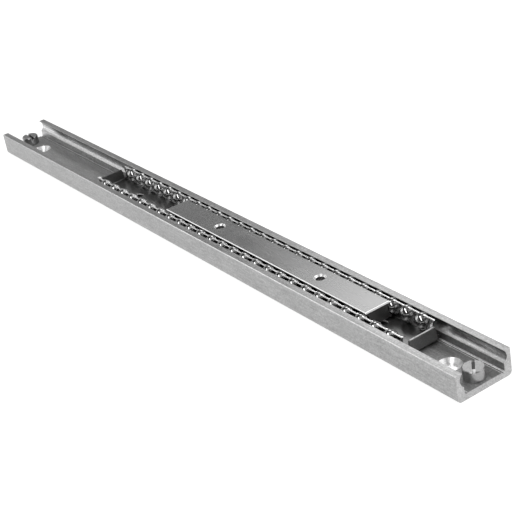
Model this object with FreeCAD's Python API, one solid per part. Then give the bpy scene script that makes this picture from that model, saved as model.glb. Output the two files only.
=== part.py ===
import FreeCAD, Part
import math
import os

# Square rail linear guide: a U-shaped rail with a ball race along each inner wall, a pressed ball
# cage with two rows of balls, and a slider that runs between the rows on the same balls.
# Millimetres. X runs along the rail, Z is up, and the origin is the bottom centre of the rail.

# Balls and the clearances of the races
ball_diameter = 7.0
ball_count = 26
ball_pitch = 9.5
running_clearance = 0.08

# Rail section
rail_length = 400.0
floor_thickness = 2.8
groove_wall = 1.9
lip_land = 0.17
rail_upper_wrap = 55.0
rail_lower_wrap = 57.0
rail_bottom_radius = 2.0
rail_edge_break = 0.3
wall_foot_inset = 0.17
foot_relief_width = 1.2
foot_relief_depth = 0.3
foot_fillet = 0.5

# Countersunk holes in the rail floor
rail_hole_count = 4
rail_hole_end_distance = 20.0
rail_hole_diameter = 5.5
countersink_diameter = 10.4

# Stop screws at the rail ends
stop_end_distance = 5.8
stop_head_diameter = 9.2
stop_head_height = 5.1
stop_head_chamfer = 0.35
stop_slot_width = 1.3
stop_slot_depth = 1.45
slot_saw_diameter = 60.0
near_slot_angle = -41.0
far_slot_angle = -4.0
stop_shank_diameter = 4.0
stop_shank_clearance = 0.05
stop_shank_recess = 0.3

# Slider
slider_length = 160.0
slider_neck_width = 9.88
slider_wrap = 57.0
slider_foot_land = 0.5
slider_foot_chamfer = 0.4
slider_proud = 0.6
slider_edge_break = 0.35
slider_end_chamfer = 0.6
tapped_hole_count = 2
tapped_hole_pitch = 80.0
tapped_hole_diameter = 4.2
tapped_hole_mouth = 5.8

# Ball cage
sheet_thickness = 0.8
cage_floor_gap = 1.4
cage_slider_gap = 0.7
cage_bend_radius = 0.5
pocket_wrap = 67.0
collar_wall = 0.4
collar_depth = 0.95
sheet_edge_radius = 0.3
tab_overhang = 9.9
tab_below_ball_top = 1.9
tab_top_width = 13.5
tab_foot_width = 14.9
web_hole_diameter = 6.4
web_hole_end_distance = 27.1

# Where the slider and the cage stand on the rail
cage_near_gap = 24.6
slider_near_gap = 26.6

# Sizes that follow from the ones above
ball_radius = ball_diameter / 2
race_radius = ball_radius + running_clearance
rail_width = slider_neck_width + 4 * race_radius + 2 * groove_wall
ball_y = rail_width / 2 - groove_wall - race_radius
web_bottom = floor_thickness + cage_floor_gap
web_top = web_bottom + sheet_thickness
slider_bottom = web_top + cage_slider_gap
ball_z = slider_bottom + slider_foot_land + race_radius * math.sin(math.radians(slider_wrap))
rail_height = ball_z + race_radius * math.sin(math.radians(rail_upper_wrap)) + lip_land
slider_top = rail_height + slider_proud
flange_top = ball_z + race_radius * math.sin(math.radians(pocket_wrap))
flange_inner_y = ball_y - sheet_thickness / 2
flange_outer_y = ball_y + sheet_thickness / 2
row_length = (ball_count - 1) * ball_pitch
flange_half_length = row_length / 2 + ball_pitch
stop_x = rail_length / 2 - stop_end_distance
cage_half_length = row_length / 2 + tab_overhang
cage_x = stop_x - stop_head_diameter / 2 - cage_near_gap - cage_half_length
slider_x = cage_x + cage_half_length - sheet_thickness - slider_near_gap - slider_length / 2


def point(y, z, x=0.0):
    return FreeCAD.Vector(x, y, z)


def race_point(side, angle):
    """A point of the race circle round the ball centre: side +1 looks outwards, -1 inwards."""
    turn = math.radians(angle)
    return point(ball_y + side * race_radius * math.cos(turn), ball_z + race_radius * math.sin(turn))


def line(start, end):
    return Part.makeLine(start, end)


def arc(start, middle, end):
    return Part.Arc(start, middle, end).toShape()


def corner_arc(centre_y, centre_z, radius, first_angle, last_angle):
    """An arc in the YZ plane, given by its centre and the angles of its ends in degrees."""
    ends = []
    for angle in (first_angle, (first_angle + last_angle) / 2, last_angle):
        turn = math.radians(angle)
        ends.append(point(centre_y + radius * math.cos(turn), centre_z + radius * math.sin(turn)))
    return arc(*ends)


def mirror_edges(edges):
    centre_plane = FreeCAD.Vector(0, 1, 0)
    return [edge.mirror(FreeCAD.Vector(0, 0, 0), centre_plane) for edge in edges]


def extrude_section(half_edges, length, centre_x):
    """A prism along X whose section is the given half outline and its mirror image."""
    ordered = Part.sortEdges(half_edges + mirror_edges(half_edges))[0]
    face = Part.Face(Part.Wire(ordered))
    prism = face.extrude(FreeCAD.Vector(length, 0, 0))
    prism.translate(FreeCAD.Vector(centre_x - length / 2, 0, 0))
    return prism


def cylinder_z(radius, bottom, top, x, y=0.0):
    return Part.makeCylinder(radius, top - bottom, FreeCAD.Vector(x, y, bottom))


def cone_z(bottom_radius, top_radius, bottom, top, x):
    return Part.makeCone(bottom_radius, top_radius, top - bottom, FreeCAD.Vector(x, 0, bottom))


def spread(count, pitch, centre):
    """Evenly spaced places along X round a centre."""
    return [centre + (index - (count - 1) / 2) * pitch for index in range(count)]


def rail_section():
    """Right half of the rail outline, from the bottom centre round the wall to the floor centre."""
    half = rail_width / 2
    nose = race_point(1, rail_upper_wrap)
    shoulder = race_point(1, -rail_lower_wrap)
    foot_y = shoulder.y - wall_foot_inset
    relief_z = floor_thickness - foot_relief_depth
    relief_y = foot_y - foot_relief_width
    return [
        line(point(0, 0), point(half - rail_bottom_radius, 0)),
        corner_arc(half - rail_bottom_radius, rail_bottom_radius, rail_bottom_radius, -90, 0),
        line(point(half, rail_bottom_radius), point(half, rail_height - rail_edge_break)),
        line(point(half, rail_height - rail_edge_break), point(half - rail_edge_break, rail_height)),
        line(point(half - rail_edge_break, rail_height), point(nose.y + lip_land, rail_height)),
        line(point(nose.y + lip_land, rail_height), nose),
        arc(nose, race_point(1, 0), shoulder),
        line(shoulder, point(foot_y, relief_z + foot_fillet)),
        corner_arc(foot_y - foot_fillet, relief_z + foot_fillet, foot_fillet, 0, -90),
        line(point(foot_y - foot_fillet, relief_z), point(relief_y + foot_relief_depth, relief_z)),
        line(point(relief_y + foot_relief_depth, relief_z), point(relief_y, floor_thickness)),
        line(point(relief_y, floor_thickness), point(0, floor_thickness)),
    ]


def countersunk_hole(x):
    """A through hole with a 90 degree countersink that opens at the rail floor."""
    hole_radius = rail_hole_diameter / 2
    sink_radius = countersink_diameter / 2
    sink_bottom = floor_thickness - (sink_radius - hole_radius)
    hole = cylinder_z(hole_radius, -1.0, floor_thickness, x)
    return hole.fuse(cone_z(hole_radius, sink_radius + 1.0, sink_bottom, floor_thickness + 1.0, x))


def rail():
    body = extrude_section(rail_section(), rail_length, 0.0)
    pitch = (rail_length - 2 * rail_hole_end_distance) / (rail_hole_count - 1)
    cuts = [countersunk_hole(x) for x in spread(rail_hole_count, pitch, 0.0)]
    bore_radius = stop_shank_diameter / 2 + stop_shank_clearance
    cuts += [cylinder_z(bore_radius, -1.0, floor_thickness + 1.0, x) for x in (-stop_x, stop_x)]
    return body.cut(cuts)


def stop_screw(x, slot_angle):
    """A round head that stands on the rail floor, its slot cut by a round saw, with its shank in the floor."""
    radius = stop_head_diameter / 2
    top = floor_thickness + stop_head_height
    outline = [
        FreeCAD.Vector(0, 0, stop_shank_recess),
        FreeCAD.Vector(stop_shank_diameter / 2, 0, stop_shank_recess),
        FreeCAD.Vector(stop_shank_diameter / 2, 0, floor_thickness),
        FreeCAD.Vector(radius, 0, floor_thickness),
        FreeCAD.Vector(radius, 0, top - stop_head_chamfer),
        FreeCAD.Vector(radius - stop_head_chamfer, 0, top),
        FreeCAD.Vector(0, 0, top),
        FreeCAD.Vector(0, 0, stop_shank_recess),
    ]
    body = Part.Face(Part.makePolygon(outline)).revolve(FreeCAD.Vector(0, 0, 0), FreeCAD.Vector(0, 0, 1))
    saw_radius = slot_saw_diameter / 2
    saw_centre = FreeCAD.Vector(0, -stop_slot_width / 2, top - stop_slot_depth + saw_radius)
    slot = Part.makeCylinder(saw_radius, stop_slot_width, saw_centre, FreeCAD.Vector(0, 1, 0))
    slot.rotate(FreeCAD.Vector(0, 0, 0), FreeCAD.Vector(0, 0, 1), slot_angle)
    screw = body.cut(slot)
    screw.translate(FreeCAD.Vector(x, 0, 0))
    return screw


def slider_section():
    """Right half of the slider outline: a flat bar with a ball race hollowed out of its side."""
    upper = race_point(-1, slider_wrap)
    lower = race_point(-1, -slider_wrap)
    return [
        line(point(0, slider_bottom), point(lower.y - slider_foot_chamfer, slider_bottom)),
        line(point(lower.y - slider_foot_chamfer, slider_bottom), point(lower.y, slider_bottom + slider_foot_chamfer)),
        line(point(lower.y, slider_bottom + slider_foot_chamfer), lower),
        arc(lower, race_point(-1, 0), upper),
        line(upper, point(upper.y, slider_top - slider_edge_break)),
        line(point(upper.y, slider_top - slider_edge_break), point(upper.y - slider_edge_break, slider_top)),
        line(point(upper.y - slider_edge_break, slider_top), point(0, slider_top)),
    ]


def end_chamfer(x, direction):
    """The wedge that breaks the top edge at one end of the slider."""
    reach = slider_end_chamfer
    corners = [
        point(-rail_width, slider_top - reach, x),
        point(-rail_width, slider_top, x - direction * reach),
        point(-rail_width, slider_top + reach, x),
        point(-rail_width, slider_top - reach, x),
    ]
    return Part.Face(Part.makePolygon(corners)).extrude(FreeCAD.Vector(0, 2 * rail_width, 0))


def tapped_hole(x):
    """A through hole at tapping size, with the mouth of the thread opened out at both faces."""
    radius = tapped_hole_diameter / 2
    mouth = tapped_hole_mouth / 2
    depth = mouth - radius
    hole = cylinder_z(radius, slider_bottom - 1.0, slider_top + 1.0, x)
    top_mouth = cone_z(radius, mouth, slider_top - depth, slider_top, x)
    bottom_mouth = cone_z(mouth, radius, slider_bottom, slider_bottom + depth, x)
    return hole.fuse([top_mouth, bottom_mouth])


def slider():
    body = extrude_section(slider_section(), slider_length, slider_x)
    cuts = [tapped_hole(x) for x in spread(tapped_hole_count, tapped_hole_pitch, slider_x)]
    cuts += [end_chamfer(slider_x + side * slider_length / 2, side) for side in (-1, 1)]
    return body.cut(cuts)


def cage_section():
    """Right half of the cage outline: a flat web and an upright flange, rounded along its top."""
    inner_bend_z = web_top + cage_bend_radius
    inner_bend_y = flange_inner_y - cage_bend_radius
    outer_bend = cage_bend_radius + sheet_thickness
    edge = sheet_edge_radius
    return [
        line(point(0, web_bottom), point(flange_outer_y - outer_bend, web_bottom)),
        corner_arc(flange_outer_y - outer_bend, web_bottom + outer_bend, outer_bend, -90, 0),
        line(point(flange_outer_y, web_bottom + outer_bend), point(flange_outer_y, flange_top - edge)),
        corner_arc(flange_outer_y - edge, flange_top - edge, edge, 0, 90),
        line(point(flange_outer_y - edge, flange_top), point(flange_inner_y + edge, flange_top)),
        corner_arc(flange_inner_y + edge, flange_top - edge, edge, 90, 180),
        line(point(flange_inner_y, flange_top - edge), point(flange_inner_y, inner_bend_z)),
        corner_arc(inner_bend_y, inner_bend_z, cage_bend_radius, 0, -90),
        line(point(inner_bend_y, web_top), point(0, web_top)),
    ]


def end_tab(direction):
    """The web carried on past the flanges and turned up, which the slider and the stop screw meet."""
    outer_x = cage_x + direction * cage_half_length
    start_x = cage_x + direction * (flange_half_length - 2 * sheet_thickness)
    bend = cage_bend_radius
    outer_bend = bend + sheet_thickness
    edge = sheet_edge_radius
    tab_top = ball_z + ball_radius - tab_below_ball_top
    quarter = math.sin(math.radians(45))

    def at(depth, z):
        return point(0, z, outer_x - direction * depth)

    side_view = [
        line(at(0, tab_top - edge), at(0, web_bottom + outer_bend)),
        arc(at(0, web_bottom + outer_bend),
            at(outer_bend - outer_bend * quarter, web_bottom + outer_bend - outer_bend * quarter),
            at(outer_bend, web_bottom)),
        line(at(outer_bend, web_bottom), point(0, web_bottom, start_x)),
        line(point(0, web_bottom, start_x), point(0, web_top, start_x)),
        line(point(0, web_top, start_x), at(outer_bend, web_top)),
        arc(at(outer_bend, web_top),
            at(outer_bend - bend * quarter, web_top + bend - bend * quarter),
            at(sheet_thickness, web_top + bend)),
        line(at(sheet_thickness, web_top + bend), at(sheet_thickness, tab_top - edge)),
        arc(at(sheet_thickness, tab_top - edge),
            at(sheet_thickness - edge + edge * quarter, tab_top - edge + edge * quarter),
            at(sheet_thickness - edge, tab_top)),
        line(at(sheet_thickness - edge, tab_top), at(edge, tab_top)),
        arc(at(edge, tab_top), at(edge - edge * quarter, tab_top - edge + edge * quarter), at(0, tab_top - edge)),
    ]
    face = Part.Face(Part.Wire(Part.sortEdges(side_view)[0]))
    tab = face.extrude(FreeCAD.Vector(0, tab_foot_width, 0))
    tab.translate(FreeCAD.Vector(0, -tab_foot_width / 2, 0))
    top_half = tab_top_width / 2
    foot_half = tab_foot_width / 2
    front_view = [
        point(-foot_half, web_bottom),
        point(foot_half, web_bottom),
        point(foot_half, web_top),
        point(top_half, tab_top),
        point(-top_half, tab_top),
        point(-foot_half, web_top),
        point(-foot_half, web_bottom),
    ]
    taper = Part.Face(Part.makePolygon(front_view)).extrude(FreeCAD.Vector(2 * tab_overhang, 0, 0))
    taper.translate(FreeCAD.Vector(outer_x - tab_overhang, 0, 0))
    return tab.common(taper)


def pocket_collar(x, side):
    """The raised rim of a pocket, a slice of a sphere that wraps the ball on the slider's side."""
    rim = Part.makeSphere(race_radius + collar_wall, FreeCAD.Vector(x, side * ball_y, ball_z))
    inner_face = flange_inner_y - collar_depth
    low_y = min(side * inner_face, side * ball_y)
    first_x = max(x - ball_pitch / 2, cage_x - flange_half_length)
    last_x = min(x + ball_pitch / 2, cage_x + flange_half_length)
    slab = Part.makeBox(
        last_x - first_x, ball_y - inner_face, flange_top - web_top,
        FreeCAD.Vector(first_x, low_y, web_top),
    )
    return rim.common(slab)


def pocket_places():
    """Centres of the pockets on both sides: one for each ball, and the half pocket that ends each flange."""
    places = []
    for side in (-1, 1):
        for x in spread(ball_count + 2, ball_pitch, cage_x):
            places.append((x, side))
    return places


def ball_cage():
    """The whole cage: folded sheet, turned-up ends, raised pocket rims and the pockets themselves."""
    body = extrude_section(cage_section(), 2 * flange_half_length, cage_x)
    added = [end_tab(direction) for direction in (-1, 1)]
    added += [pocket_collar(x, side) for x, side in pocket_places()]
    body = body.fuse(added)
    cuts = [Part.makeSphere(race_radius, FreeCAD.Vector(x, side * ball_y, ball_z)) for x, side in pocket_places()]
    hole_reach = cage_half_length - web_hole_end_distance
    for x in (cage_x - hole_reach, cage_x + hole_reach):
        cuts.append(cylinder_z(web_hole_diameter / 2, web_bottom - 1.0, web_top + 1.0, x))
    return body.cut(cuts)


def ball(x, side):
    return Part.makeSphere(ball_radius, FreeCAD.Vector(x, side * ball_y, ball_z))


def main():
    os.makedirs("parts", exist_ok=True)
    nodes = {
        "rail": rail(),
        "slider": slider(),
        "ball_cage": ball_cage(),
        "stop_screw_near": stop_screw(stop_x, near_slot_angle),
        "stop_screw_far": stop_screw(-stop_x, far_slot_angle),
    }
    for side, row in ((-1, "front"), (1, "back")):
        for index, x in enumerate(spread(ball_count, ball_pitch, cage_x), start=1):
            nodes["ball_%s_%02d" % (row, index)] = ball(x, side)
    for name, shape in nodes.items():
        shape.exportStep("parts/%s.step" % name)
    print("rail %.2f x %.2f x %.2f" % (rail_length, rail_width, rail_height))
    print("ball centres at y %.3f z %.3f" % (ball_y, ball_z))
    print("slider top %.3f bottom %.3f, centre x %.2f" % (slider_top, slider_bottom, slider_x))
    print("cage centre x %.2f, half length %.2f, flange top %.3f" % (cage_x, cage_half_length, flange_top))


main()
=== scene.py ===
import math

import bpy
import numpy as np
from mathutils import Matrix, Vector


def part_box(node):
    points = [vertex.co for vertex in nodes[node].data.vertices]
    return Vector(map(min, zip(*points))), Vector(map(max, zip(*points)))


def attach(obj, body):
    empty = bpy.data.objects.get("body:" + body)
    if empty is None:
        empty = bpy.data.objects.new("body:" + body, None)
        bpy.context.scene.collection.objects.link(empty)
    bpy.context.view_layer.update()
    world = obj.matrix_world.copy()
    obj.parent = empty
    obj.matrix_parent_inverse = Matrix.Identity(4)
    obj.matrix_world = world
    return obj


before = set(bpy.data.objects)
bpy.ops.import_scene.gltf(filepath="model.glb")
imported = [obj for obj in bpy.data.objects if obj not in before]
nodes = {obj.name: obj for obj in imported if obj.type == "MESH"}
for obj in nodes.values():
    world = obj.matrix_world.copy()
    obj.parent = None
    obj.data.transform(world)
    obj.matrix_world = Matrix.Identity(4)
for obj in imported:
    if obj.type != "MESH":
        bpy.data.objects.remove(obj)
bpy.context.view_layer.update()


# Sizes and places of the part that the finishes and the scene's own pieces follow, in metres

mm = 0.001
rail_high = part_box("rail")[1]
slider_low, slider_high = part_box("slider")
cage_low, cage_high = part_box("ball_cage")
ball_low, ball_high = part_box("ball_back_01")
screw_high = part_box("stop_screw_near")[1]

rail_half_width, lip_top = rail_high[1], rail_high[2]
floor_top = 2.8 * mm
rail_hole_pitch = 120 * mm
countersink_radius = 5.2 * mm

ball_y, ball_z = (ball_low[1] + ball_high[1]) / 2, (ball_low[2] + ball_high[2]) / 2
ball_radius = (ball_high[2] - ball_low[2]) / 2

slider_middle = (slider_low[0] + slider_high[0]) / 2
slider_half_length = (slider_high[0] - slider_low[0]) / 2
slider_half_width, slider_bottom, slider_top = slider_high[1], slider_low[2], slider_high[2]
tapped_hole_pitch = 80 * mm
tapped_mouth_radius = 2.9 * mm

cage_middle = (cage_low[0] + cage_high[0]) / 2
cage_half_length = (cage_high[0] - cage_low[0]) / 2
sheet_thickness = 0.8 * mm
web_top = cage_low[2] + sheet_thickness
web_hole_radius = 3.2 * mm
web_hole_end_distance = 27.1 * mm


# The camera, on the bearing, height and lean that the rail's corners have in the photograph

def photo_camera():
    """The camera looks back along the bearing and height and leans about its line of sight. The sensor and
    the lens are in millimetres, the place is in metres."""
    azimuth, elevation, lean = (math.radians(angle) for angle in (59.866, 27.043, -10.478))
    place = (0.538565, -0.285040, 0.295709)
    sensor_width, focal_length = 36.0, 95.66
    level = math.cos(elevation)
    back = Vector((math.sin(azimuth) * level, -math.cos(azimuth) * level, math.sin(elevation)))
    right = (-back).cross(Vector((0, 0, 1))).normalized()
    up = right.cross(-back)
    leaned_right = math.cos(lean) * right + math.sin(lean) * up
    leaned_up = -math.sin(lean) * right + math.cos(lean) * up
    data = bpy.data.cameras.new("photo_camera")
    data.sensor_width = sensor_width
    data.lens = focal_length
    camera = bpy.data.objects.new("photo_camera", data)
    turn = Matrix((leaned_right, leaned_up, back)).transposed().to_4x4()
    camera.matrix_world = Matrix.Translation(place) @ turn
    bpy.context.scene.collection.objects.link(camera)
    bpy.context.scene.camera = camera


photo_camera()
bpy.context.scene.view_settings.view_transform = "Standard"


# Small helpers for node trees

def add(tree, kind, sockets=None, **settings):
    """One node with its settings and its sockets, which take a value or another node's output."""
    made = tree.nodes.new(kind)
    for name, value in settings.items():
        setattr(made, name, value)
    for name, value in (sockets or {}).items():
        if isinstance(value, bpy.types.NodeSocket):
            tree.links.new(value, made.inputs[name])
        else:
            made.inputs[name].default_value = value
    return made


def calculate(tree, operation, first, second=0.0):
    """One step of arithmetic on two values or node outputs."""
    made = add(tree, "ShaderNodeMath", operation=operation)
    for socket, value in zip(made.inputs, (first, second)):
        if isinstance(value, bpy.types.NodeSocket):
            tree.links.new(value, socket)
        else:
            socket.default_value = value
    return made.outputs["Value"]


def spread_to(tree, value, low, high, from_low=0.3, from_high=0.7):
    """A value carried from one range onto the range low to high. Noise lies mostly between 0.3 and 0.7."""
    sockets = {"Value": value, "From Min": from_low, "From Max": from_high, "To Min": low, "To Max": high}
    return add(tree, "ShaderNodeMapRange", sockets).outputs["Result"]


def noise(tree, place, scale, detail=4.0, offset=(0, 0, 0)):
    """Noise with so many features per metre along each axis."""
    mapping = add(tree, "ShaderNodeMapping", {"Vector": place, "Scale": scale, "Location": offset})
    sockets = {"Vector": mapping.outputs["Vector"], "Scale": 1.0, "Detail": detail, "Roughness": 0.55}
    return add(tree, "ShaderNodeTexNoise", sockets).outputs["Fac"]


def grey(tree, value):
    """A neutral colour from one brightness."""
    made = add(tree, "ShaderNodeCombineColor", {"Red": value, "Green": value, "Blue": value})
    return made.outputs["Color"]


class Steel:
    """A bare steel finish: streaks along the way it was drawn, ground or turned, over a broader mottle
    and a fine grain. It starts with one brightness and one roughness, and zones then change them where
    the piece differs and where light or shade is painted. Where zones overlap, the later one holds."""

    def __init__(self, name, tone, rough, streak_scale, mottle_scale, relief_depth, contrast=0.1):
        self.material = bpy.data.materials.new(name)
        self.material.use_nodes = True
        tree = self.tree = self.material.node_tree
        self.shader = tree.nodes["Principled BSDF"]
        self.shader.inputs["Metallic"].default_value = 1.0
        place = add(tree, "ShaderNodeTexCoord").outputs["Object"]
        axes = add(tree, "ShaderNodeSeparateXYZ", {"Vector": place})
        self.x, self.y, self.z = (axes.outputs[axis] for axis in "XYZ")
        self.normal = add(tree, "ShaderNodeNewGeometry").outputs["Normal"]
        facing = add(tree, "ShaderNodeSeparateXYZ", {"Vector": self.normal})
        self.facing_end, self.facing_side, self.facing_up = (facing.outputs[axis] for axis in "XYZ")
        self.streaks = noise(tree, place, streak_scale)
        self.mottle = noise(tree, place, mottle_scale, detail=2.0, offset=(3.1, 1.7, 5.3))
        self.grain = noise(tree, place, (1100, 1300, 1300), detail=3.0, offset=(7.7, 2.9, 0.4))
        self.tone, self.rough, self.metal = tone, rough, 1.0
        self.relief_depth = relief_depth
        self.contrast = contrast

    def size_of(self, value):
        """The value without its sign."""
        return calculate(self.tree, "ABSOLUTE", value)

    def above(self, value, limit):
        """1 past the limit, 0 elsewhere."""
        return calculate(self.tree, "GREATER_THAN", value, limit)

    def below(self, value, limit):
        """1 short of the limit, 0 elsewhere."""
        return calculate(self.tree, "LESS_THAN", value, limit)

    def between(self, value, low, high):
        """1 between two limits, 0 elsewhere."""
        return self.times(self.above(value, low), self.below(value, high))

    def times(self, first, second):
        """The product of two values. Of two masks it is 1 where both are."""
        return calculate(self.tree, "MULTIPLY", first, second)

    def within_circle(self, across, along, radius):
        """1 inside a circle, for two distances from its centre."""
        squared = calculate(self.tree, "ADD", self.times(across, across), self.times(along, along))
        return self.below(squared, radius ** 2)

    def offset(self, value, middle, half_gap=0.0):
        """The distance past a place, or past a pair of places on either side of the middle."""
        from_middle = calculate(self.tree, "SUBTRACT", value, middle)
        if half_gap:
            from_middle = calculate(self.tree, "SUBTRACT", self.size_of(from_middle), half_gap)
        return from_middle

    def zone(self, masks, tone, rough, metal=1.0):
        """Another brightness and roughness where all the masks are 1. A torn or sheared surface
        scatters light, which a lower metal value stands for."""
        mask = masks[0]
        for more in masks[1:]:
            mask = self.times(mask, more)
        self.tone = spread_to(self.tree, mask, self.tone, tone, 0.0, 1.0)
        self.rough = spread_to(self.tree, mask, self.rough, rough, 0.0, 1.0)
        if metal < 1.0:
            self.metal = spread_to(self.tree, mask, self.metal, metal, 0.0, 1.0)

    def paint_edge_highlights(self, radius, gain):
        """Painted highlights along edges: the more the surface turns within that radius, the brighter."""
        tree = self.tree
        sharp_turn, slight_turn = 0.75, 0.98
        rounded = add(tree, "ShaderNodeBevel", {"Radius": radius}, samples=4)
        turn = add(tree, "ShaderNodeVectorMath", operation="DOT_PRODUCT")
        tree.links.new(rounded.outputs["Normal"], turn.inputs[0])
        tree.links.new(self.normal, turn.inputs[1])
        edge_highlight = spread_to(tree, turn.outputs["Value"], gain, 0.0, sharp_turn, slight_turn)
        self.tone = calculate(tree, "ADD", self.tone, edge_highlight)

    def varied(self, pattern, share):
        """A factor that a noise pattern moves by that share to either side of 1."""
        return spread_to(self.tree, pattern, 1 - share, 1 + share)

    def finish(self):
        """Joins it all to the shader. Streaks and grain vary the brightness by the contrast, the mottle by
        a fixed share. Streaks and mottle together vary the roughness, and the streaks stand in low relief."""
        tree, shader = self.tree, self.shader
        mottle_share = 0.07
        rough_low, rough_high, lay_low, lay_high = 0.85, 1.15, 0.7, 1.3
        streaked = self.varied(self.streaks, self.contrast)
        mottled = self.times(streaked, self.varied(self.mottle, mottle_share))
        grained = self.times(mottled, self.varied(self.grain, self.contrast))
        tree.links.new(grey(tree, self.times(self.tone, grained)), shader.inputs["Base Color"])
        lay = calculate(tree, "ADD", self.streaks, self.mottle)
        rough = self.times(self.rough, spread_to(tree, lay, rough_low, rough_high, lay_low, lay_high))
        tree.links.new(rough, shader.inputs["Roughness"])
        if self.metal != 1.0:
            tree.links.new(self.metal, shader.inputs["Metallic"])
        sockets = {"Height": self.streaks, "Distance": self.relief_depth, "Strength": 1.0}
        relief = add(tree, "ShaderNodeBump", sockets)
        tree.links.new(relief.outputs["Normal"], shader.inputs["Normal"])
        return self.material


# Steel finishes. Each zone is named for the stretch of surface that it covers.

def drawn_steel():
    """The rail: drawn outside, with painted shade round its lower corners and a painted highlight along the
    outer edge of each lip, with two fine lines on the lip. Each race has a painted highlight low down and
    painted shade high up, and the channel is dull, with painted shade on its lower walls that painted light
    lifts towards the far end. At the foot of each wall two painted highlight lines run on either side of the
    relief groove, from the near end to past the middle, and the groove's own brightness is painted, light at
    the front and darkest at the back as painted shade. The countersinks are fresh-cut, and their brightness
    is partly a painted highlight."""
    steel = Steel("drawn_steel", 0.46, 0.34, streak_scale=(160, 2300, 2300), mottle_scale=(60, 160, 160),
                  relief_depth=2e-6, contrast=0.19)
    across = steel.size_of(steel.y)
    not_an_end = steel.below(steel.size_of(steel.facing_end), 0.5)

    outer_face = steel.above(across, rail_half_width - 0.15 * mm)
    steel.zone([outer_face, steel.below(steel.z, lip_top - 0.605 * mm)], tone=0.39, rough=0.38)
    # Painted shade: the lower corners are darkened as a contact shadow.
    lower_corner = steel.above(across, rail_half_width - 1.5 * mm)
    steel.zone([lower_corner, steel.below(steel.z, 1.3 * mm), not_an_end], tone=0.2, rough=0.42)
    # Painted highlight along the outer edge of each lip.
    lip_edge = steel.above(across, rail_half_width - 0.28 * mm)
    steel.zone([lip_edge, steel.above(steel.z, lip_top - 0.275 * mm), not_an_end], tone=0.78, rough=0.3)
    outer_line, inner_line = (13.06 * mm, 13.36 * mm), (12.45 * mm, 12.62 * mm)
    for line_low, line_high in (outer_line, inner_line):
        line = [steel.between(across, line_low, line_high), steel.above(steel.z, lip_top - 0.055 * mm)]
        steel.zone(line + [not_an_end], tone=0.36, rough=0.36)

    race_radius = ball_radius + 0.12 * mm
    from_race_y, from_race_z = steel.offset(across, ball_y), steel.offset(steel.z, ball_z)
    race = [steel.within_circle(from_race_y, from_race_z, race_radius), not_an_end]
    steel.zone(race, tone=0.46, rough=0.36)
    # Painted highlight low in each race and painted shade high up.
    steel.zone(race + [steel.below(steel.z, ball_z - 0.402 * mm)], tone=0.68, rough=0.33)
    steel.zone(race + [steel.above(steel.z, ball_z + 0.898 * mm)], tone=0.26, rough=0.4)

    channel = [steel.between(steel.z, 0.5 * mm, 6.2 * mm), steel.below(across, 10.6 * mm), not_an_end]
    steel.zone(channel, tone=0.5, rough=0.65)
    # Painted shade on the lower walls, lifted by painted light towards the far end.
    lower_wall = channel + [steel.above(across, 10.1 * mm), steel.above(steel.z, floor_top + 0.2 * mm)]
    steel.zone(lower_wall, tone=0.38, rough=0.5)
    far_stretch_low, far_stretch_high = -120 * mm, -85 * mm
    painted_light_towards_far_end = spread_to(steel.tree, steel.x, 1.0, 0.0, far_stretch_low, far_stretch_high)
    steel.zone(lower_wall + [painted_light_towards_far_end], tone=0.58, rough=0.5)

    # Painted highlights: a bright line on each side of the relief groove at the foot of each wall, from the
    # near end to past the middle. The groove's brightness is painted too: light at the front, painted shade
    # at the back.
    painted_highlight_end = -40 * mm
    foot_line = steel.between(across, 9.5 * mm, 10.35 * mm)
    foot = channel + [foot_line, steel.below(steel.z, floor_top + 0.35 * mm)]
    steel.zone(foot, tone=1.0, rough=0.4, metal=0.45)
    steel.zone(foot + [steel.below(steel.x, painted_highlight_end)], tone=0.45, rough=0.4)
    groove_z = steel.between(steel.z, floor_top - 0.8 * mm, floor_top - 0.01 * mm)
    groove = [steel.between(across, 9.05 * mm, 9.72 * mm), groove_z, not_an_end]
    steel.zone(groove, tone=0.7, rough=0.6)
    steel.zone(groove + [steel.above(steel.y, 0.0)], tone=0.1, rough=0.6)
    groove_edge_z = steel.between(steel.z, floor_top - 0.01 * mm, floor_top + 0.1 * mm)
    groove_edge = [steel.between(across, 8.6 * mm, 9.08 * mm), groove_edge_z]
    steel.zone(groove_edge + [steel.above(steel.x, painted_highlight_end)], tone=1.0, rough=0.45, metal=0.7)

    # The countersinks are fresh-cut, and their near-white brightness is partly a painted highlight.
    from_hole = steel.offset(steel.size_of(steel.offset(steel.x, 0.0, rail_hole_pitch)), rail_hole_pitch / 2)
    countersink = steel.within_circle(steel.y, from_hole, countersink_radius + 0.15 * mm)
    countersink_z = steel.between(steel.z, 0.05 * mm, floor_top - 0.04 * mm)
    steel.zone([countersink, countersink_z], tone=1.0, rough=0.4, metal=0.9)
    # Painted highlights along the rail's edges.
    steel.paint_edge_highlights(radius=0.3 * mm, gain=0.12)
    return steel.finish()


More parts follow.
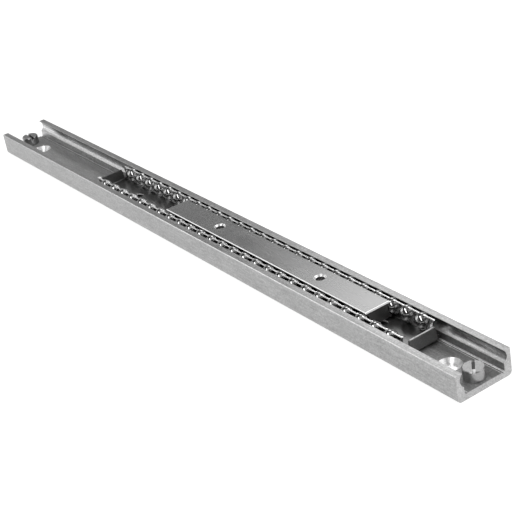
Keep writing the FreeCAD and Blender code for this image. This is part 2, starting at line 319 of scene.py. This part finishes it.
def ground_steel():
    """The slider: ground lengthwise, with painted highlights on its upper edges and hole mouths, dull ends
    and painted shade in its bores.
    """
    steel = Steel("ground_steel", 0.33, 0.25, streak_scale=(30, 3200, 3200), mottle_scale=(50, 120, 120),
                  relief_depth=1.5e-6, contrast=0.06)
    from_middle = steel.size_of(steel.offset(steel.x, slider_middle))
    end_start = slider_half_length - 0.02 * mm
    flat_facing, upward_facing = 0.9, 0.5

    cut_end = [steel.above(from_middle, end_start), steel.below(steel.facing_up, upward_facing)]
    steel.zone(cut_end, tone=0.3, rough=0.42)
    # Painted highlight along the upper long edges.
    long_edge = [steel.above(steel.z, slider_top - 0.335 * mm),
                 steel.above(steel.size_of(steel.y), slider_half_width - 0.33 * mm),
                 steel.below(from_middle, end_start)]
    steel.zone(long_edge, tone=0.9, rough=0.28)
    # Painted highlight along the upper edge of each end.
    end_edge = [steel.above(from_middle, slider_half_length - 0.6 * mm),
                steel.between(steel.facing_up, upward_facing, flat_facing),
                steel.above(steel.z, slider_top - 0.115 * mm)]
    steel.zone(end_edge, tone=0.98, rough=0.3)

    # Painted highlight on the hole mouths, and painted shade down the bores, on the threads too.
    from_hole = steel.offset(from_middle, tapped_hole_pitch / 2)
    hole = steel.within_circle(steel.y, from_hole, tapped_mouth_radius + 0.2 * mm)
    steel.zone([hole, steel.below(steel.facing_up, flat_facing)], tone=0.97, rough=0.3, metal=0.7)
    steel.zone([hole, steel.below(steel.z, slider_top - 0.825 * mm)], tone=0.16, rough=0.4)
    # Painted highlights along the slider's edges.
    steel.paint_edge_highlights(radius=0.3 * mm, gain=0.15)
    return steel.finish()


def pressed_steel():
    """The cage: bright rolled sheet, with painted shade on its web and its end tabs that is nearly black on
    the flanges' ends. The near tab's top edge carries a painted highlight, and the front flange's outer face
    painted shade. Each flange has a bright sheared edge along its top, and the collars beside it carry
    painted shade on their tops, lifted by painted light in the front row where the slider leaves the cage
    open. The web carries that painted light there too, and the walls of its holes are bright and torn."""
    steel = Steel("pressed_steel", 0.6, 0.26, streak_scale=(60, 2200, 2200), mottle_scale=(220, 260, 260),
                  relief_depth=2e-6)
    across = steel.size_of(steel.y)

    # Painted shade on the web, lifted by painted light where the slider leaves it open.
    web = steel.below(steel.z, web_top + 0.3 * mm)
    steel.zone([web], tone=0.2, rough=0.32)
    steel.zone([web, steel.below(steel.x, slider_low[0] + 0.4 * mm)], tone=0.29, rough=0.32)

    # Painted shade on the end tabs, nearly black on the flanges' ends, and a painted highlight along the near
    # tab's top edge.
    at_an_end = steel.above(steel.size_of(steel.offset(steel.x, cage_middle)), cage_half_length - 1.2 * mm)
    steel.zone([at_an_end], tone=0.23, rough=0.5)
    flange_end = [at_an_end, steel.above(across, 7.6 * mm)]
    steel.zone(flange_end, tone=0.08, rough=0.4)
    near_tab_edge = [at_an_end, steel.above(steel.x, 0.0), steel.above(steel.z, 10.45 * mm)]
    steel.zone(near_tab_edge + [steel.above(steel.facing_up, 0.3)], tone=0.62, rough=0.3)

    # Painted shade on the outer face of the front flange.
    front_flange_outside = [steel.below(steel.y, -8.4 * mm), steel.below(steel.facing_side, -0.5)]
    steel.zone(front_flange_outside + [steel.above(steel.z, 9.5 * mm)], tone=0.3, rough=0.3)
    # Painted shade on the collar tops, lifted by painted light in the front row where the slider leaves the
    # cage open. The sheared edge along each flange top is bright.
    sheared_low, sheared_high = 8.08 * mm, 8.95 * mm
    flange_top = [steel.above(steel.z, 12.1 * mm), steel.above(steel.facing_up, 0.1)]
    steel.zone(flange_top, tone=0.12, rough=0.4)
    front_collar_tops = flange_top + [steel.below(steel.y, 0.0), steel.below(across, sheared_low)]
    steel.zone(front_collar_tops + [steel.below(steel.x, slider_low[0])], tone=0.6, rough=0.32)
    steel.zone(flange_top + [steel.between(across, sheared_low, sheared_high)], tone=0.98, rough=0.26)

    from_hole = steel.offset(steel.x, cage_middle, cage_half_length - web_hole_end_distance)
    hole = steel.within_circle(steel.y, from_hole, web_hole_radius + 0.1 * mm)
    hole_wall = [hole, steel.below(steel.facing_up, 0.5), steel.below(steel.z, web_top + 0.02 * mm)]
    steel.zone(hole_wall, tone=0.95, rough=0.4, metal=0.2)
    return steel.finish()


def turned_steel():
    """The stop screws, turned and slightly dull, with a sawn slot whose floor carries painted shade and, at
    one end in the near screw, a painted reflection.
    """
    steel = Steel("turned_steel", 0.34, 0.32, streak_scale=(1800, 1800, 3000), mottle_scale=(300, 300, 300),
                  relief_depth=3e-6)
    # Painted highlights along the screws' edges.
    steel.paint_edge_highlights(radius=0.2 * mm, gain=0.15)
    # Painted shade on the slot floors, less deep in the near screw, with a painted reflection at one end of
    # its slot.
    slot_floor = [steel.below(steel.z, screw_high[2] - 0.4 * mm), steel.above(steel.facing_up, 0.9)]
    steel.zone(slot_floor, tone=0.06, rough=0.5)
    near_slot_floor = slot_floor + [steel.above(steel.x, 0.0)]
    steel.zone(near_slot_floor, tone=0.16, rough=0.5)
    steel.zone(near_slot_floor + [steel.below(steel.facing_end, 0.0)], tone=0.72, rough=0.36)
    return steel.finish()


def ball_steel():
    """Polished balls."""
    steel = Steel("ball_steel", 0.52, 0.06, streak_scale=(900, 900, 900), mottle_scale=(300, 300, 300),
                  relief_depth=1e-7, contrast=0.02)
    return steel.finish()


finish_of_slot = {
    "rail_steel": drawn_steel(),
    "slider_steel": ground_steel(),
    "cage_steel": pressed_steel(),
    "screw_steel": turned_steel(),
    "ball_steel": ball_steel(),
}

for part in nodes.values():
    for slot in part.material_slots:
        slot.material = finish_of_slot[slot.material.name]


# The scene's own pieces

def mesh_piece(name, points, quads, other_faces, material):
    """A piece at the origin, from whole arrays of points and four-sided faces and a list of other faces."""
    mesh = bpy.data.meshes.new(name)
    mesh.from_pydata(points.reshape(-1, 3).tolist(), [], quads.reshape(-1, 4).tolist() + other_faces)
    made = bpy.data.objects.new(name, mesh)
    bpy.context.scene.collection.objects.link(made)
    mesh.materials.append(material)
    return made


# The threads in the slider's two tapped holes

def thread(name, centre_x):
    """One helical ridge on the wall of a tapped hole. The centre line of the ridge is
    r = wall radius, z = bottom + pitch * turns, and its section is a V with a narrow crest:
    (r, z) = (wall, -half foot), (crest, -half crest), (crest, half crest), (wall, half foot).
    The crest sinks back into the wall over the first and the last half turn, where the ends are closed."""
    wall, crest, pitch = 2.12 * mm, 1.96 * mm, 0.8 * mm
    half_foot, half_crest = 0.34 * mm, 0.06 * mm
    bottom, top = slider_bottom + 1.4 * mm, slider_top - 1.3 * mm
    steps_per_turn, fading_turns = 40, 0.5
    turns = (top - bottom) / pitch
    steps = int(turns * steps_per_turn)
    along = np.linspace(0.0, turns, steps + 1)
    depth = np.clip(np.minimum(along, turns - along) / fading_turns, 0.0, 1.0)
    wall_line, crest_line = np.full_like(along, wall), wall - (wall - crest) * depth
    radius = np.column_stack([wall_line, crest_line, crest_line, wall_line])
    rise = (bottom + pitch * along)[:, None] + np.array([-half_foot, -half_crest, half_crest, half_foot])
    angle = (2 * math.pi * along)[:, None]
    points = np.stack([centre_x + radius * np.cos(angle), radius * np.sin(angle), rise], axis=-1)
    step = np.arange(steps)[:, None] * 4
    corner = np.arange(4)[None, :]
    beside = (corner + 1) % 4
    quads = np.stack([step + corner, step + beside, step + 4 + beside, step + 4 + corner], axis=-1)
    last = steps * 4
    caps = [[3, 2, 1, 0], [last, last + 1, last + 2, last + 3]]
    ridge = mesh_piece(name, points, quads, caps, finish_of_slot["slider_steel"])
    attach(ridge, "slider_body")


thread("thread_far", slider_middle - tapped_hole_pitch / 2)
thread("thread_near", slider_middle + tapped_hole_pitch / 2)


# The cage's end tabs in full

def end_tab(name, high_x):
    """A tab's whole outline, laid just over the solid's tab, whose sides its pocket cuts bite into.
    The outline is a tapered plate with round upper corners. It is repeated at six depths through the
    sheet, and at the faces it is lowered in proportion to its height, which breaks the plate's top edges.
    high_x is the face of the tab that looks along +X."""
    proud = 0.02 * mm
    foot_z, top_z = 5.5 * mm, 10.8 * mm + proud
    foot_half, top_half = 7.39 * mm + proud, 6.75 * mm + proud
    corner, edge = 0.5 * mm, 0.3 * mm
    corner_steps = 7
    turn = np.linspace(0.0, math.pi / 2, corner_steps)
    side_y = np.append(foot_half, top_half - corner + corner * np.cos(turn))
    side_z = np.append(foot_z, top_z - corner + corner * np.sin(turn))
    right_side = np.column_stack([side_y, side_z])
    outline = np.concatenate([right_side, right_side[::-1] * (-1, 1)])
    count = len(outline)
    broken = edge * (1 - math.sqrt(0.5))
    thickness = sheet_thickness + 2 * proud
    depths = np.array([0.0, broken, edge, thickness - edge, thickness - broken, thickness])
    drops = np.array([edge, broken, 0.0, 0.0, broken, edge])
    lowered = drops[:, None] * (outline[:, 1] - foot_z) / (top_z - foot_z)
    points = np.stack([
        np.repeat((high_x + proud - depths)[:, None], count, axis=1),
        np.repeat(outline[None, :, 0], len(depths), axis=0),
        outline[None, :, 1] - lowered,
    ], axis=-1)
    ring = np.arange(len(depths) - 1)[:, None] * count
    here = np.arange(count)[None, :]
    beside = (here + 1) % count
    sides = np.stack([ring + here, ring + count + here, ring + count + beside, ring + beside], axis=-1)
    last = (len(depths) - 1) * count
    caps = [list(range(count)), list(range(last + count - 1, last - 1, -1))]
    plate = mesh_piece(name, points, sides, caps, finish_of_slot["cage_steel"])
    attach(plate, "cage_body")


end_tab("end_tab_far", cage_low[0] + sheet_thickness)
end_tab("end_tab_near", cage_high[0])


# The studio: a white floor, a dark room with a pale horizon, and soft boxes

def white_floor():
    """A white sweep. It shows its own paleness to the eye and in the steel, dimmed near the rail as
    painted shade, and keeps the soft shadow of the rail."""
    reach, drop = 12.0, 0.2 * mm
    painted_shade_level, near_reach, far_reach = 0.88, 0.5, 1.6
    paper_tone = 0.36
    material = bpy.data.materials.new("white_paper")
    material.use_nodes = True
    tree = material.node_tree
    tree.nodes.clear()
    path = add(tree, "ShaderNodeLightPath")
    seen = calculate(tree, "MAXIMUM", path.outputs["Is Camera Ray"], path.outputs["Is Glossy Ray"])
    seen = calculate(tree, "MAXIMUM", seen, path.outputs["Is Transmission Ray"])
    place = add(tree, "ShaderNodeTexCoord").outputs["Object"]
    away = add(tree, "ShaderNodeVectorMath", {0: place}, operation="LENGTH").outputs["Value"]
    # Painted shade: the glow is dimmed near the rail and reaches full strength further out.
    level = spread_to(tree, away, painted_shade_level, 1.0, near_reach, far_reach)
    glow = add(tree, "ShaderNodeEmission", {"Strength": calculate(tree, "MULTIPLY", seen, level)})
    paper = add(tree, "ShaderNodeBsdfDiffuse", {"Color": (paper_tone, paper_tone, paper_tone, 1)})
    lit = add(tree, "ShaderNodeAddShader")
    tree.links.new(glow.outputs["Emission"], lit.inputs[0])
    tree.links.new(paper.outputs["BSDF"], lit.inputs[1])
    add(tree, "ShaderNodeOutputMaterial", {"Surface": lit.outputs["Shader"]})
    corners = np.array([(-1, -1), (1, -1), (1, 1), (-1, 1)]) * reach
    points = np.column_stack([corners, np.full(4, -drop)])
    floor = mesh_piece("floor", points, np.arange(4), [], material)


def dim_room():
    """White near the horizon, dark higher up and pale again overhead, the same for every kind of ray.
    A height is the sine of the angle above the horizon."""
    horizon_top, dark_from, dark_tone = 0.1, 0.2, 0.05
    pale_from, pale_full, pale_tone = 0.84, 0.97, 0.45
    world = bpy.data.worlds.new("studio")
    bpy.context.scene.world = world
    world.use_nodes = True
    tree = world.node_tree
    direction = add(tree, "ShaderNodeTexCoord").outputs["Generated"]
    height = add(tree, "ShaderNodeSeparateXYZ", {"Vector": direction}).outputs["Z"]

    def fade(from_height, to_height, from_tone, to_tone):
        sockets = {"Value": height, "From Min": from_height, "From Max": to_height,
                   "To Min": from_tone, "To Max": to_tone}
        return add(tree, "ShaderNodeMapRange", sockets, interpolation_type="SMOOTHSTEP").outputs["Result"]

    horizon = fade(horizon_top, dark_from, 1.0, dark_tone)
    overhead = fade(pale_from, pale_full, 0.0, pale_tone)
    total = calculate(tree, "ADD", horizon, overhead)
    tree.nodes["Background"].inputs["Strength"].default_value = 1.0
    tree.links.new(grey(tree, total), tree.nodes["Background"].inputs["Color"])


def soft_box(name, azimuth, elevation, distance, size, brightness, lean=0.0):
    """An area lamp of that width, height and brightness that faces the middle of the rail. Azimuth runs from
    +X towards +Y, and lean turns the lamp about the line to the rail."""
    turn, rise = math.radians(azimuth), math.radians(elevation)
    away = Vector((math.cos(turn) * math.cos(rise), math.sin(turn) * math.cos(rise), math.sin(rise)))
    width, height = size
    data = bpy.data.lights.new(name, "AREA")
    data.shape = "RECTANGLE"
    data.size = width
    data.size_y = height
    data.energy = brightness * math.pi * width * height
    lamp = bpy.data.objects.new(name, data)
    facing = away.to_track_quat("Z", "Y").to_matrix().to_4x4()
    leaned = facing @ Matrix.Rotation(math.radians(lean), 4, "Z")
    lamp.matrix_world = Matrix.Translation(away * distance) @ leaned
    bpy.context.scene.collection.objects.link(lamp)


white_floor()
dim_room()
soft_box("back_box", azimuth=134.5, elevation=39.5, distance=1.03, size=(0.4, 0.3), brightness=2.35,
         lean=-51)
soft_box("top_strip", azimuth=96, elevation=48, distance=1.05, size=(0.46, 0.13), brightness=2.4, lean=34)
soft_box("back_card", azimuth=160, elevation=21, distance=1.2, size=(0.66, 0.32), brightness=0.52)
soft_box("key_strip", azimuth=-66.7, elevation=58.9, distance=1.0, size=(1.36, 0.18), brightness=4.5,
         lean=-50)
soft_box("left_box", azimuth=-146, elevation=32, distance=1.1, size=(0.8, 0.44), brightness=1.15)
soft_box("groove_card", azimuth=-143, elevation=14, distance=1.1, size=(0.7, 0.18), brightness=1.2)
soft_box("left_card", azimuth=-106, elevation=23, distance=1.1, size=(0.34, 0.3), brightness=0.5)
soft_box("right_box", azimuth=50, elevation=44, distance=1.1, size=(0.95, 0.6), brightness=1.9)
